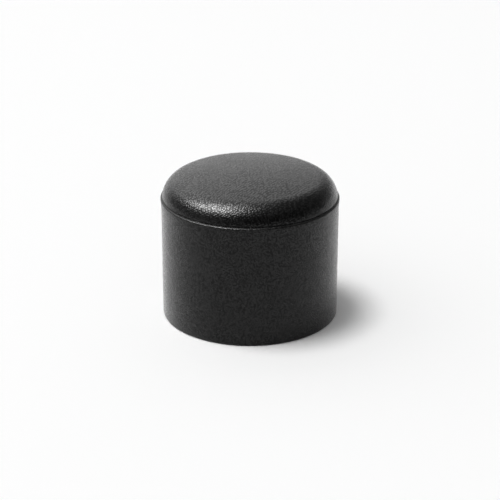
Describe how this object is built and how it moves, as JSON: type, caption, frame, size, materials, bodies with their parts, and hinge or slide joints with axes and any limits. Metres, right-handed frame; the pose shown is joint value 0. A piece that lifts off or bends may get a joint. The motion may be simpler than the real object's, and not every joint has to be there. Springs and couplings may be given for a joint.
{
  "type": "chair leg cap",
  "caption": "Round push-on cap for the end of a tube chair leg: a blind socket in a plain side wall, closed by a crowned end with a rounded shoulder above a fine parting groove.",
  "frame": {"origin": "centre of the open mouth, on the plane that its rim stands on", "axes": "+Z along the socket's axis, from the mouth towards the crowned closed end; the cap is round, so +X and +Y are free"},
  "size_m": [0.0302, 0.0302, 0.0255],
  "materials": {
    "black_rubber": "moulded fine leather grain with a satin sheen, a little glossier on the crowned end"
  },
  "bodies": {
    "root": {"leg_cap": "black_rubber"}
  },
  "joints": []
}
